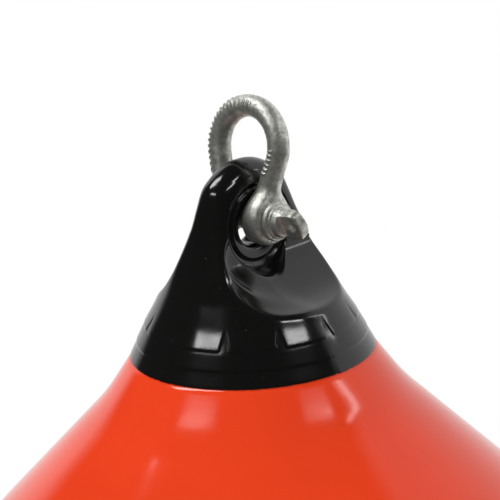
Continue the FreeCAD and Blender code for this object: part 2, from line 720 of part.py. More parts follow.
def eye_tool(doc, s):
    """The rope eye: a throat with rounded mouths, a boss, and the round hollow for the ears."""
    throat = s.eye_diameter / 2
    mouth = s.eye_mouth_rounding
    boss_x = s.ear_inner - s.jaw_clearance
    groove_x = boss_x - s.boss_height
    boss = s.boss_diameter / 2
    hollow = s.hollow_diameter / 2
    corner = s.hollow_rounding
    far = s.skirt_radius
    side = Outline(sketch_in(doc, "eye_section", "XZ"), (as_size(0), as_size(0)))
    side.line(as_size(0), throat)
    side.line(boss_x - mouth, throat)
    side.arc(boss_x, throat + mouth, mouth, 1)
    side.line(boss_x, boss - s.boss_height)
    side.line(groove_x, boss)
    side.line(groove_x, hollow - corner)
    side.arc(groove_x + corner, hollow, corner, -1)
    side.line(far, hollow)
    side.line(far, as_size(0))
    tool = revolved(doc, "eye", side.finish(), V(1, 0, 0))
    place(tool, 0, 0, s.eye_height)
    return tool


def notch_tool(doc, s):
    """The V notches in the lower edge of the upper tier, cut down to the tier below."""
    low, high = s.notch_line_height, s.notch_line_height + s.notch_height
    ring = Outline(sketch_in(doc, "notch_depth", "XZ"), (skirt_at(s, low, 1), low))
    ring.line(skirt_at(s, low, 1) + CLEAR, low)
    ring.line(skirt_at(s, low, 1) + CLEAR, high)
    ring.line(skirt_at(s, high, 1), high)
    depth = revolved(doc, "notch_ring", ring.finish())
    star = new_body(doc, "notch_star")
    vee = body_sketch(star, "notch_outline", "YZ_Plane")
    v_shape = Outline(vee, (-s.notch_width / 2, low))
    v_shape.line(s.notch_width / 2, low)
    v_shape.line(s.notch_tip / 2, high)
    v_shape.line(-s.notch_tip / 2, high)
    v_shape.finish()
    prism = star.newObject("PartDesign::Pad", "notch_prism")
    prism.Profile = vee
    bind(prism, Length=s.skirt_radius + CLEAR)
    doc.recompute()
    round_skirt = star.newObject("PartDesign::PolarPattern", "notch_pattern")
    round_skirt.Originals = [prism]
    round_skirt.Axis = (origin_plane(star, "Z_Axis"), [""])
    round_skirt.Angle = 360
    round_skirt.Occurrences = NOTCHES
    star.Tip = round_skirt
    return common(doc, "notches", depth, star)


def make_eye_head(doc, s):
    blank = revolved(doc, "head_blank", head_section(doc, s))
    scoop = scoop_tool(doc, s)
    one = cut(doc, "one_scoop", blank, scoop)
    both = cut(doc, "both_scoops", one, mirrored_in_x(doc, "other_scoop", scoop))
    doc.recompute()
    rounded = doc.addObject("Part::Fillet", "soft_fin")
    rounded.Base = both
    rounded.Edges = fin_edges(both.Shape, s)
    eye = eye_tool(doc, s)
    dish = dish_tool(doc, s)
    shaped = cut(doc, "dished", rounded, dish)
    shaped = cut(doc, "dished_twice", shaped, mirrored_in_x(doc, "other_dish", dish))
    shaped = cut(doc, "eyed", shaped, eye)
    shaped = cut(doc, "eyed_through", shaped, mirrored_in_x(doc, "other_eye", eye))
    head = cut(doc, "eye_head", shaped, notch_tool(doc, s))
    head.Label = "eye_head"
    place(head, 0, s.pin_y, s.head_z)
    return head


def fin_edges(shape, s):
    """Edges where the scoops meet the turned head, softer towards the top."""
    chosen = []
    low = s.scoop_bend_height.value
    high = s.eye_height.value + s.hollow_diameter.value / 2
    for number, edge in enumerate(shape.Edges, start=1):
        if edge.BoundBox.ZMin < s.notch_line_height.value or edge.BoundBox.YLength < 1e-6:
            continue
        middle = edge.valueAt((edge.FirstParameter + edge.LastParameter) / 2)
        flat = []
        for face in shape.ancestorsOfType(edge, Part.Face):
            u, v = face.Surface.parameter(middle)
            flat.append(abs(face.normalAt(u, v).y) < 1e-4)
        if sorted(flat) != [False, True]:
            continue
        radii = []
        for point in (edge.valueAt(edge.FirstParameter), edge.valueAt(edge.LastParameter)):
            share = min(max((point.z - low) / (high - low), 0), 1)
            radii.append(s.rim_rounding.value
                         + share * (s.fin_rounding.value - s.rim_rounding.value))
        chosen.append((number, radii[0], radii[1]))
    return chosen


def make_float_body(doc, s):
    wall = s.float_wall
    flank, spread = s.float_flank_slope, s.float_spread_slope
    outline = Outline(sketch_in(doc, "float_section", "XZ"), (as_size(0), s.neck_top_height))
    outline.arc(s.neck_radius_high, s.neck_shoulder_height, neck_crown(s), -1)
    outline.line(s.neck_radius_low, as_size(0))
    outline.line(s.flank_end_x, -s.float_flank_length)
    outline.arc(s.spread_x, s.spread_z, s.float_spread_radius, 1)
    outline.line(s.ball_x, s.ball_z)
    outline.arc(as_size(0), s.float_bottom, s.float_radius, -1)
    outline.line(as_size(0), s.float_bottom + wall)
    outline.arc(s.ball_x - wall * cosine(spread), s.ball_z - wall * sine(spread),
                s.float_radius - wall, 1)
    outline.line(s.spread_x - wall * cosine(spread), s.spread_z - wall * sine(spread))
    outline.arc(s.flank_end_x - wall * cosine(flank), -s.float_flank_length - wall * sine(flank),
                s.float_spread_radius + wall, -1)
    outline.line(s.neck_radius_low - wall / cosine(flank), as_size(0))
    inner_z = s.neck_shoulder_height - wall
    inner_x = s.neck_radius_high - wall / cosine(s.neck_slope) + tilted(s.neck_slope, wall)
    outline.line(inner_x, inner_z)
    outline.arc(as_size(0), s.neck_top_height - wall,
                crown_arc_radius(inner_x, s.neck_top_height - wall - inner_z), 1)
    skin = revolved(doc, "float_skin", outline.finish())
    hole = doc.addObject("Part::Cylinder", "valve_hole")
    bind(hole, Radius=s.valve_body_diameter / 2, Height=s.valve_depth)
    place(hole, 0, 0, s.float_bottom - s.float_wall)
    body = cut(doc, "float_body", skin, hole)
    body.Label = "float_body"
    place(body, 0, s.pin_y, s.head_z)
    return body


def make_valve(doc, s):
    """The threaded seat in the float's wall, the slotted plug and the seal under its head."""
    inner = s.float_radius - s.float_wall
    flange = s.valve_flange_diameter / 2
    flange_z = s.float_wall + inner - root(inner * inner - flange * flange)
    bore = s.plug_diameter / 2 + s.plug_thread_clearance
    seat = Outline(sketch_in(doc, "valve_seat_section", "XZ"),
                   (s.valve_recess_diameter / 2, as_size(0)))
    seat.line(s.valve_body_diameter / 2, as_size(0))
    seat.line(s.valve_body_diameter / 2, flange_z)
    seat.line(flange, flange_z)
    seat.line(flange, flange_z + s.valve_flange_thickness)
    seat.line(s.valve_barrel_diameter / 2, flange_z + s.valve_flange_thickness)
    seat.line(s.valve_barrel_diameter / 2, s.valve_depth)
    seat.line(bore, s.valve_depth)
    seat.line(bore, s.valve_recess_depth)
    seat.line(s.valve_recess_diameter / 2, s.valve_recess_depth)
    valve_seat = revolved(doc, "valve_seat", seat.finish())

    head_top = s.valve_recess_depth - 2 * s.seal_clearance - s.seal_section
    head_low = head_top - s.plug_head_thickness
    plug = Outline(sketch_in(doc, "plug_section", "XZ"), (as_size(0), head_low))
    plug.line(s.plug_head_diameter / 2 - s.plug_edge, head_low)
    plug.line(s.plug_head_diameter / 2, head_low + s.plug_edge)
    plug.line(s.plug_head_diameter / 2, head_top)
    plug.line(s.plug_diameter / 2, head_top)
    plug.line(s.plug_diameter / 2, head_top + s.plug_length - s.plug_edge)
    plug.line(s.plug_diameter / 2 - s.plug_edge, head_top + s.plug_length)
    plug.line(as_size(0), head_top + s.plug_length)
    turned = revolved(doc, "plug_blank", plug.finish())
    slot = doc.addObject("Part::Box", "plug_slot")
    bind(slot, Length=s.plug_head_diameter, Width=s.plug_slot_width, Height=s.plug_slot_depth)
    place(slot, -s.plug_head_diameter / 2, -s.plug_slot_width / 2, head_low)
    screw = cut(doc, "valve_screw", turned, slot)

    seal = doc.addObject("Part::Torus", "valve_o_ring")
    bind(seal, Radius1=s.plug_diameter / 2 + s.seal_clearance + s.seal_section / 2,
         Radius2=s.seal_section / 2)
    floor = s.head_z + s.float_bottom
    place(valve_seat, 0, s.pin_y, floor)
    place(screw, 0, s.pin_y, floor)
    place(seal, 0, s.pin_y, floor + head_top + s.seal_clearance + s.seal_section / 2)
    for piece in (valve_seat, screw, seal):
        piece.Label = piece.Name
    return [valve_seat, screw, seal]


def check(doc, pieces):
    for thing in doc.Objects:
        if "Invalid" in thing.State or "Error" in thing.State:
            raise RuntimeError("{} failed: {}".format(thing.Name, thing.State))
    for piece in pieces:
        shape = piece.Shape
        if shape.isNull() or not shape.isValid() or len(shape.Solids) != 1:
            raise RuntimeError("{} is not one valid solid".format(piece.Label))


def main():
    doc = FreeCAD.newDocument("marker_buoy")
    s = Sheet(doc)
    work_out_places(s)
    pieces = [make_float_body(doc, s), make_eye_head(doc, s), make_shackle_bow(doc, s),
              make_shackle_pin(doc, s)] + make_valve(doc, s)
    doc.recompute()
    check(doc, pieces)
    os.makedirs("parts", exist_ok=True)
    for piece in pieces:
        piece.Shape.exportStep("parts/{}.step".format(piece.Label))
        print(piece.Label, round(piece.Shape.Volume / 1000, 1), "cubic centimetres")


main()
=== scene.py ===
"""Looks for an inflated marker buoy with a moulded rope-eye head and a screw-pin shackle.

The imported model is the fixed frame. The moulded and forged pieces are grown as distance fields in
Geometry Nodes, in millimetres from the piece's own reference point, and keep the frame's sizes.
"""

import json
import math

import bmesh
import bpy
from bpy.props import FloatProperty, FloatVectorProperty, IntProperty, PointerProperty
from mathutils import Matrix, Quaternion, Vector


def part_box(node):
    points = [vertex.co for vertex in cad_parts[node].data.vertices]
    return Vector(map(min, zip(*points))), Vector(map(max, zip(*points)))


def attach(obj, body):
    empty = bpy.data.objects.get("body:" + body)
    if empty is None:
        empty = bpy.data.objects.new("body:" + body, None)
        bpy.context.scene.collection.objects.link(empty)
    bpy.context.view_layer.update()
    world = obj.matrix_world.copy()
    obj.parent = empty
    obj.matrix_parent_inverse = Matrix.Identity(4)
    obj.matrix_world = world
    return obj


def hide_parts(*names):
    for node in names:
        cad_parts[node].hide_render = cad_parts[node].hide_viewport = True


bl_info = {
    "name": "Marker Buoy",
    "version": (1, 0, 0),
    "blender": (4, 5, 0),
    "location": "3D View > Sidebar > Buoy",
    "description": "Dresses a packed marker buoy with vinyl, zinc and a studio",
    "category": "Add Mesh",
}

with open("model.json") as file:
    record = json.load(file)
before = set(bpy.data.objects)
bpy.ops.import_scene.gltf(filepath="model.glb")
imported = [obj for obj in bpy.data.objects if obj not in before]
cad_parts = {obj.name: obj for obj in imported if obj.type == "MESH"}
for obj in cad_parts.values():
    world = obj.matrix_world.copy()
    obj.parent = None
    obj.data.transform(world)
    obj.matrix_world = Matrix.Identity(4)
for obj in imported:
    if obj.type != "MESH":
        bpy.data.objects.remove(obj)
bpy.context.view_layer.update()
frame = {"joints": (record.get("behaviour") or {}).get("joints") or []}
MM = 0.001

HINGE = {joint["name"]: joint for joint in frame["joints"]}
PIN_AXIS = Vector(HINGE["shackle_swing"]["pos_m"])
BOW_LEAN = math.atan2(-PIN_AXIS.y, -PIN_AXIS.z)
BOW_UP = Vector((0, math.sin(BOW_LEAN), math.cos(BOW_LEAN)))
BOW_ACROSS = Vector((0, math.cos(BOW_LEAN), -math.sin(BOW_LEAN)))
HEAD_LOW, HEAD_HIGH = (Vector(corner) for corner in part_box("eye_head"))
HEAD_FOOT = Vector((0, (HEAD_LOW.y + HEAD_HIGH.y) / 2, HEAD_LOW.z))
FLOAT_LOW, FLOAT_HIGH = (Vector(corner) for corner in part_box("float_body"))


# Sizes and colours a user may change


class VinylSettings(bpy.types.PropertyGroup):
    red: FloatVectorProperty(
        name="Red", description="Colour of the float", subtype="COLOR", size=3,
        default=(0.86, 0.056, 0.013), min=0, max=1)
    black: FloatVectorProperty(
        name="Black", description="Colour of the head", subtype="COLOR", size=3,
        default=(0.0048, 0.0048, 0.0045), min=0, max=1)
    gloss: FloatProperty(
        name="Roughness", description="Roughness of the polished vinyl", default=0.125,
        min=0.02, max=1)
    waviness: FloatProperty(
        name="Waviness", description="Unevenness of the moulded skin, in millimetres",
        default=0.09, min=0, max=2)


class ZincSettings(bpy.types.PropertyGroup):
    bright: FloatVectorProperty(
        name="Bright zinc", description="Fresh crystals of the coating", subtype="COLOR", size=3,
        default=(0.72, 0.73, 0.68), min=0, max=1)
    dull: FloatVectorProperty(
        name="Dull zinc", description="Weathered crystals of the coating", subtype="COLOR", size=3,
        default=(0.28, 0.285, 0.25), min=0, max=1)
    lumps: FloatProperty(
        name="Lumps", description="Unevenness of the dipped forging, in millimetres",
        default=0.22, min=0, max=1)


class StageSettings(bpy.types.PropertyGroup):
    light: FloatProperty(
        name="Light", description="Strength of all soft boxes", default=1.0, min=0, max=10)
    ambient: FloatProperty(
        name="Ambient", description="Even light from all round", default=0.5, min=0, max=5)
    backdrop: FloatProperty(
        name="Backdrop", description="Brightness of the backdrop in reflections",
        default=0.9, min=0, max=5)
    distance: FloatProperty(
        name="Camera distance", description="From the aimed point to the camera",
        default=1.3, min=0.3, max=10, unit="LENGTH")


class DetailSettings(bpy.types.PropertyGroup):
    grain: FloatProperty(
        name="Grain", description="Edge of one cell of the distance fields, in millimetres",
        default=0.5, min=0.1, max=3)
    segments: IntProperty(
        name="Segments", description="Steps round the float", default=256, min=24, max=1024)


# Node arithmetic


class Term:
    """A number socket that takes part in Python arithmetic: each step adds its Math node."""

    def __init__(self, nodes, socket):
        self.nodes = nodes
        self.socket = socket

    def __add__(self, other):
        return self.nodes.math("ADD", self, other)

    def __sub__(self, other):
        return self.nodes.math("SUBTRACT", self, other)

    def __rsub__(self, other):
        return self.nodes.math("SUBTRACT", other, self)

    def __mul__(self, other):
        return self.nodes.math("MULTIPLY", self, other)

    def __truediv__(self, other):
        return self.nodes.math("DIVIDE", self, other)

    def __rtruediv__(self, other):
        return self.nodes.math("DIVIDE", other, self)

    def __neg__(self):
        return self.nodes.math("MULTIPLY", self, -1.0)

    def __abs__(self):
        return self.nodes.math("ABSOLUTE", self)

    def __gt__(self, other):
        return self.nodes.math("GREATER_THAN", self, other)

    __radd__ = __add__


class Nodes:
    """A node tree under construction."""

    def __init__(self, tree):
        self.tree = tree

    def node(self, kind, settings=None, inputs=None):
        """Any node: its settings go in first, then the values or links of its sockets."""
        made = self.tree.nodes.new(kind)
        for name, value in (settings or {}).items():
            setattr(made, name, value)
        for key, value in (inputs or {}).items():
            self.feed(made.inputs[key], value)
        return made

    def feed(self, socket, value):
        if isinstance(value, Term):
            value = value.socket
        if isinstance(value, bpy.types.NodeSocket):
            self.tree.links.new(value, socket)
        else:
            socket.default_value = value

    def math(self, operation, *values):
        made = self.node("ShaderNodeMath", {"operation": operation}, dict(enumerate(values)))
        return Term(self, made.outputs[0])

    def vector(self, operation, *values, result="Vector"):
        made = self.node("ShaderNodeVectorMath", {"operation": operation}, dict(enumerate(values)))
        return made.outputs[result]

    def scaled(self, vector, factor):
        made = self.node("ShaderNodeVectorMath", {"operation": "SCALE"},
                         {0: vector, "Scale": factor})
        return made.outputs[0]

    def along(self, direction):
        """Coordinate of the place along a direction."""
        return Term(self, self.vector("DOT_PRODUCT", self.place, tuple(direction), result="Value"))

    def least(self, *values):
        result = values[0]
        for value in values[1:]:
            result = self.math("MINIMUM", result, value)
        return result

    def most(self, *values):
        result = values[0]
        for value in values[1:]:
            result = self.math("MAXIMUM", result, value)
        return result

    def join(self, first, second, soft):
        """Union of two fields with a hollow of that softness between them."""
        return self.math("SMOOTH_MIN", first, second, soft)

    def meet(self, first, second, soft):
        """Intersection of two fields with a rounded edge of that softness."""
        return self.math("SMOOTH_MAX", first, second, soft)

    def span(self, *parts):
        """Length of a vector."""
        total = parts[0] * parts[0]
        for part in parts[1:]:
            total = total + part * part
        return self.math("SQRT", total)

    def ramp(self, value, low, high):
        """0 at low, 1 at high, straight between and level beyond."""
        made = self.node("ShaderNodeMapRange", {"clamp": True}, {
            "Value": value, "From Min": low, "From Max": high, "To Min": 0.0, "To Max": 1.0})
        return Term(self, made.outputs["Result"])

    def pick(self, choose, otherwise, chosen):
        """The chosen value where choose is 1, and the other where it is 0."""
        return otherwise + (chosen - otherwise) * choose

    def noise(self, place, size, detail=2.0, roughness=0.5, shift=(0.0, 0.0, 0.0)):
        """Smooth noise between -1 and 1, with lumps about as wide as size, in the unit of place."""
        moved = self.vector("MULTIPLY_ADD", place, (1 / size,) * 3, shift)
        made = self.node("ShaderNodeTexNoise", {"noise_dimensions": "3D"},
                         {"Vector": moved, "Scale": 1.0, "Detail": detail, "Roughness": roughness})
        return (Term(self, made.outputs[0]) - 0.5) * 2.0

    def mix_colour(self, factor, first, second):
        made = self.node("ShaderNodeMix", {"data_type": "RGBA", "blend_type": "MIX"},
                         {0: factor, 6: self.colour(first), 7: self.colour(second)})
        return made.outputs[2]

    @staticmethod
    def colour(value):
        if isinstance(value, (Term, bpy.types.NodeSocket)):
            return value
        return (*tuple(value)[:3], 1.0)


def tan(degrees):
    return math.tan(math.radians(degrees))


def cos(degrees):
    return math.cos(math.radians(degrees))


def sin(degrees):
    return math.sin(math.radians(degrees))


def softness(radius, turn):
    """The softness whose rounding is as deep as an arc's at a corner of that turn."""
    return 6 * radius * (1 - cos(turn / 2))


# Geometry trees


class Field(Nodes):
    """A Geometry Nodes tree that turns a distance field into a skin.

    Its sizes are named inputs of the tree, in millimetres, and attributes here.
    """

    def __init__(self, name, origin, sizes):
        tree = bpy.data.node_groups.new(name, "GeometryNodeTree")
        super().__init__(tree)
        tree.interface.new_socket("Geometry", in_out="INPUT", socket_type="NodeSocketGeometry")
        tree.interface.new_socket("Geometry", in_out="OUTPUT", socket_type="NodeSocketGeometry")
        for size, value in sizes.items():
            socket = tree.interface.new_socket(
                size.replace("_", " ").capitalize(), in_out="INPUT", socket_type="NodeSocketFloat")
            socket.default_value = value
        given = tree.nodes.new("NodeGroupInput")
        for index, size in enumerate(sizes, start=1):
            setattr(self, size, Term(self, given.outputs[index]))
        here = self.node("GeometryNodeInputPosition").outputs[0]
        self.place = self.scaled(self.vector("SUBTRACT", here, tuple(origin)), 1 / MM)

    def grow(self, distance, low, high, finish):
        """Ends the tree: the skin where the distance is zero, inside a box in metres."""
        inputs = {"Density": -distance, "Background": -1.0, "Min": tuple(low), "Max": tuple(high)}
        for axis, start, end in zip("XYZ", low, high):
            inputs["Resolution " + axis] = self.math("CEIL", (end - start) / MM / self.grain)
        volume = self.node("GeometryNodeVolumeCube", inputs=inputs)
        skin = self.node("GeometryNodeVolumeToMesh", inputs={
            "Volume": volume.outputs[0], "Threshold": 0.0, "Adaptivity": 0.0})
        real = self.node("GeometryNodeRealizeInstances", inputs={"Geometry": skin.outputs[0]})
        dressed = self.node("GeometryNodeSetMaterial", inputs={
            "Geometry": real.outputs[0], "Material": finish})
        out = self.tree.nodes.new("NodeGroupOutput")
        self.tree.links.new(dressed.outputs[0], out.inputs[0])


def plain_object(name, mesh):
    made = bpy.data.objects.new(name, mesh)
    bpy.context.scene.collection.objects.link(made)
    return made


def hardened(name, field, values, finish, share):
    """Runs a tree, thins its skin to a share of the faces and keeps it as a plain mesh."""
    piece = plain_object(name, bpy.data.meshes.new(name + "_start"))
    run = piece.modifiers.new("Form", "NODES")
    run.node_group = field.tree
    for item in field.tree.interface.items_tree:
        key = item.name.lower().replace(" ", "_")
        if item.in_out == "INPUT" and key in values:
            run[item.identifier] = values[key]
    thin = piece.modifiers.new("Thin", "DECIMATE")
    thin.ratio = share
    ready = piece.evaluated_get(bpy.context.evaluated_depsgraph_get())
    made = bpy.data.meshes.new_from_object(ready)
    piece.modifiers.clear()
    piece.data = made
    made.name = name
    made.materials.clear()
    made.materials.append(finish)
    made.polygons.foreach_set("use_smooth", [True] * len(made.polygons))
    print(name, len(made.vertices), "vertices", len(made.polygons), "faces")
    return piece


def grain(scene, scale=1.0):
    """Cell size for a field: the detail setting's grain times a scale."""
    return scene.buoy_detail.grain * scale * 1.0


def declare(piece, body, nodes):
    """Says which body a piece rides on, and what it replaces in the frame."""
    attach(piece, body)
    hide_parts(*nodes)


# Materials


class Finish(Nodes):
    """A material with Object coordinates in millimetres."""

    def __init__(self, name):
        self.material = bpy.data.materials.new(name)
        self.material.use_nodes = True
        self.material.node_tree.nodes.clear()
        super().__init__(self.material.node_tree)
        at = self.node("ShaderNodeTexCoord").outputs["Object"]
        self.place = self.scaled(at, 1 / MM)

    def bump(self, height):
        """Normal from a height in millimetres."""
        made = self.node("ShaderNodeBump", inputs={"Height": height, "Distance": MM})
        return made.outputs[0]

    def surface(self, **inputs):
        named = {key.replace("_", " ").title().replace("Ior", "IOR"): value
                 for key, value in inputs.items()}
        shader = self.node("ShaderNodeBsdfPrincipled", inputs=named)
        self.node("ShaderNodeOutputMaterial", inputs={"Surface": shader.outputs[0]})
        return self.material


def polished_red(settings):
    """Polished blown vinyl: even colour, slow waves, faint orange peel and a few rubs."""
    f = Finish("polished_red")
    waves = f.noise(f.place, 46.0, detail=1.0)
    cloud = f.noise(f.place, 90.0, detail=3.0)
    peel = f.noise(f.place, 1.6, detail=2.0)
    rubs = f.ramp(f.noise(f.place, 9.0, detail=6.0, roughness=0.7), 0.42, 0.62)
    red = tuple(settings.red)
    deep = tuple(c * 0.86 for c in red)
    colour = f.mix_colour(f.ramp(cloud, -0.6, 0.6), deep, red)
    colour = f.mix_colour(rubs * 0.10, colour, (0.9, 0.28, 0.16))
    height = waves * settings.waviness * 2.0 + peel * 0.006 + rubs * -0.01
    return f.surface(
        base_color=colour, roughness=settings.gloss * 0.8 + rubs * 0.12 + cloud * 0.02,
        ior=1.42, normal=f.bump(height))


def moulded_black(settings):
    """Glossy moulded vinyl with slow waves, fine pimples, dust and pale scuffs."""
    f = Finish("moulded_black")
    waves = f.noise(f.place, 17.0, detail=1.5)
    pimple = f.noise(f.place, 0.9, detail=2.0)
    patch = f.noise(f.place, 24.0, detail=3.0)
    stretched = f.vector("MULTIPLY", f.place, (1.0, 1.0, 0.25))
    scuff = f.ramp(f.noise(stretched, 3.4, detail=5.0, roughness=0.75), 0.5, 0.8)
    dust = f.ramp(f.noise(f.place, 0.8, detail=0.0, shift=(7.0, 3.0, 5.0)), 0.72, 0.8)
    colour = f.mix_colour(scuff * 0.12, tuple(settings.black), (0.10, 0.10, 0.09))
    colour = f.mix_colour(dust * 0.35, colour, (0.25, 0.24, 0.21))
    height = waves * settings.waviness * 0.5 + pimple * 0.004
    rough = settings.gloss + patch * 0.05 + scuff * 0.25
    return f.surface(base_color=colour, roughness=rough, ior=1.5, normal=f.bump(height))


def galvanised_zinc(settings):
    """Hot-dipped zinc: mottled crystals of two greys, with dark pits."""
    f = Finish("galvanised_zinc")
    cells = f.node("ShaderNodeTexVoronoi", {"feature": "F1"}, {"Vector": f.place, "Scale": 0.45})
    crystal = Term(f, cells.outputs["Distance"])
    mottle = f.noise(f.place, 3.4, detail=6.0, roughness=0.7)
    broad = f.noise(f.place, 13.0, detail=2.0)
    grit = f.noise(f.place, 0.55, detail=3.0)
    pits = f.ramp(f.noise(f.place, 1.3, detail=3.0, shift=(3.0, 9.0, 1.0)), 0.4, 0.7)
    share = f.ramp(mottle * 1.3 + broad * 0.5 + crystal * 0.3, -0.4, 0.5)
    colour = f.mix_colour(share, tuple(settings.dull), tuple(settings.bright))
    colour = f.mix_colour(pits * 0.55, colour, (0.10, 0.10, 0.085))
    height = mottle * 0.16 + grit * 0.035 - pits * 0.14
    rough = 0.52 - share * 0.14 + pits * 0.2
    return f.surface(base_color=colour, metallic=0.82 + share * 0.1, roughness=rough,
                     normal=f.bump(height))


def satin_plastic():
    """Satin moulded plastic of the valve."""
    f = Finish("satin_plastic")
    fine = f.noise(f.place, 0.5, detail=3.0)
    patch = f.noise(f.place, 6.0, detail=2.0)
    colour = f.mix_colour(f.ramp(patch, -0.5, 0.5), (0.012, 0.012, 0.012), (0.022, 0.022, 0.021))
    return f.surface(base_color=colour, roughness=0.42 + patch * 0.06, ior=1.5,
                     normal=f.bump(fine * 0.01))


def dusty_rubber():
    """Dull rubber with a bloom of dust."""
    f = Finish("dusty_rubber")
    dust = f.noise(f.place, 1.2, detail=3.0)
    colour = f.mix_colour(f.ramp(dust, -0.2, 0.8), (0.014, 0.014, 0.014), (0.05, 0.05, 0.048))
    return f.surface(base_color=colour, roughness=0.7 + dust * 0.1, normal=f.bump(dust * 0.02))


def material(maker, *settings):
    """The finish of that maker, made on its first use."""
    return bpy.data.materials.get(maker.__name__) or maker(*settings)


# Turned pieces


def arc(centre, radius, start, stop, steps):
    """Points on an arc, angles in degrees."""
    return [Vector((centre[0] + radius * cos(a), centre[1] + radius * sin(a)))
            for a in (start + (stop - start) * n / steps for n in range(steps + 1))]


def turned(name, outline, foot, steps, finish):
    """Turns a half section of (radius, height) in millimetres about the upright through foot."""
    shape = bmesh.new()
    points = [shape.verts.new((foot.x + x * MM, foot.y, foot.z + z * MM)) for x, z in outline]
    edges = [shape.edges.new(pair) for pair in zip(points, points[1:])]
    bmesh.ops.spin(shape, geom=points + edges, cent=foot, axis=(0, 0, 1), angle=math.tau,
                   steps=steps, use_merge=True)
    bmesh.ops.remove_doubles(shape, verts=shape.verts, dist=1e-6)
    bmesh.ops.recalc_face_normals(shape, faces=shape.faces)
    for face in shape.faces:
        face.smooth = True
    mesh = bpy.data.meshes.new(name)
    shape.to_mesh(mesh)
    shape.free()
    mesh.materials.append(finish)
    return plain_object(name, mesh)


# The float's section, in millimetres from the head's foot and in degrees
FLOAT_INSET = 0.005
FLOAT_NECK_RADIUS, FLOAT_NECK_HEIGHT, FLOAT_NECK_SLOPE = 70.7, 18.0, 35.0
FLOAT_SPREAD, FLOAT_HOLLOW = 45.0, 130.0
VALVE_HOLE, VALVE_HOLE_DEPTH = 13.0, 6.0
NECK_IN_HEAD = ((69.0, 0.3), (58.2, 15.8), (44.0, 19.0), (0.0, 23.4))
BALL_STEPS, FLANK_STEPS, BEND_STEPS, NECK_STEPS = 96, 8, 10, 6


def float_outline():
    """Half section of the float's skin, from its bottom up to the neck inside the head."""
    radius = (FLOAT_HIGH.x - FLOAT_LOW.x) / MM / 2 - FLOAT_INSET
    slope, spread = FLOAT_NECK_SLOPE, FLOAT_SPREAD
    cone_end = Vector((FLOAT_NECK_RADIUS + FLOAT_NECK_HEIGHT * tan(slope), -FLOAT_NECK_HEIGHT))
    centre = cone_end + FLOAT_HOLLOW * Vector((cos(slope), sin(slope)))
    bend = arc(centre, FLOAT_HOLLOW, 180 + spread, 180 + slope, BEND_STEPS)
    ball_x = radius * cos(spread)
    ball_z = bend[0].y - (ball_x - bend[0].x) / tan(spread)
    ball_centre = (0.0, ball_z - radius * sin(spread))
    hole = math.degrees(math.asin(VALVE_HOLE / radius))
    ball = arc(ball_centre, radius, hole - 90, spread, BALL_STEPS)
    flank = [ball[-1].lerp(bend[0], n / FLANK_STEPS) for n in range(1, FLANK_STEPS)]
    neck = Vector((FLOAT_NECK_RADIUS, 0.0))
    cone = [cone_end.lerp(neck, n / NECK_STEPS) for n in range(1, NECK_STEPS + 1)]
    hidden = [Vector(point) for point in NECK_IN_HEAD]
    wall = [Vector((VALVE_HOLE, ball[0].y + VALVE_HOLE_DEPTH))]
    return wall + ball + flank + bend + cone + hidden


class BUOY_OT_float(bpy.types.Operator):
    """Blown float, with its neck inside the head"""

    bl_idname = "buoy.float"
    bl_label = "Float"

    def execute(self, context):
        scene = context.scene
        steps = scene.buoy_detail.segments // 1
        finish = material(polished_red, scene.buoy_vinyl)
        piece = turned("float_skin", float_outline(), HEAD_FOOT, steps, finish)
        declare(piece, "buoy", ["float_body"])
        return {"FINISHED"}


# Head


HEAD_SIZES = {
    "grain": 0.5, "skirt_radius": 71.3, "tier_step": 0.5, "band_height": 8.6, "notch_line": 18.5,
    "notch_width": 6.0, "notch_height": 11.0, "notch_depth": 0.35, "bend_height": 36.5,
    "flank_height": 72.0, "dome_radius": 36.0, "crown_height": 113.5, "fin_half": 11.5,
    "scoop_start": 81.0, "scoop_bend_height": 62.0, "dish_half": 10.6, "dish_bend_height": 57.8,
    "dish_middle": 60.0, "dish_width": 41.0, "dish_height": 27.0, "eye_height": 76.0,
    "eye_radius": 12.5, "hollow_radius": 27.0, "boss_half": 9.9, "groove_half": 8.5,
    "waviness": 0.09,
}
SKIRT_SLOPE, UPPER_SLOPE, CONE_SLOPE, FLANK_SLOPE = 28.0, 31.4, 22.6, 16.2
UPPER_STEPS, NOTCHES = 1.6, 12
SCOOP_SLOPE, SCOOP_FOOT_SLOPE, SCOOP_RADIUS = 18.0, 78.0, 42.0
DISH_SLOPE, DISH_SHIFT = 47.1, 7.0
# Softness of the dish's rim, and what it loses between two places along Y
COVE, COVE_LOSS, COVE_RANGE = 20.0, 9.0, (-8.0, -24.0)
BOSS_RADIUS, GROOVE_RADIUS = 24.5, 21.5
HOLLOW_INSET, HOLLOW_DRAFT, DRAFT_SCALE = 3.5, 0.4, 0.93
# Softness of the fin's edges, and what it gains between two heights
FIN_EDGE, FIN_EDGE_GAINS = 3.6, ((58.0, 86.0, 6.8), (86.0, 104.0, 9.0))
# Room for the float's neck: a cone under a low dome
NECK_WALL, NECK_SLOPE = 2.2, 33.0
NECK_TOP, NECK_TOP_DROP, NECK_TOP_RADIUS = 24.0, 8.0, 59.7
SKIN_WAVES = 26.0


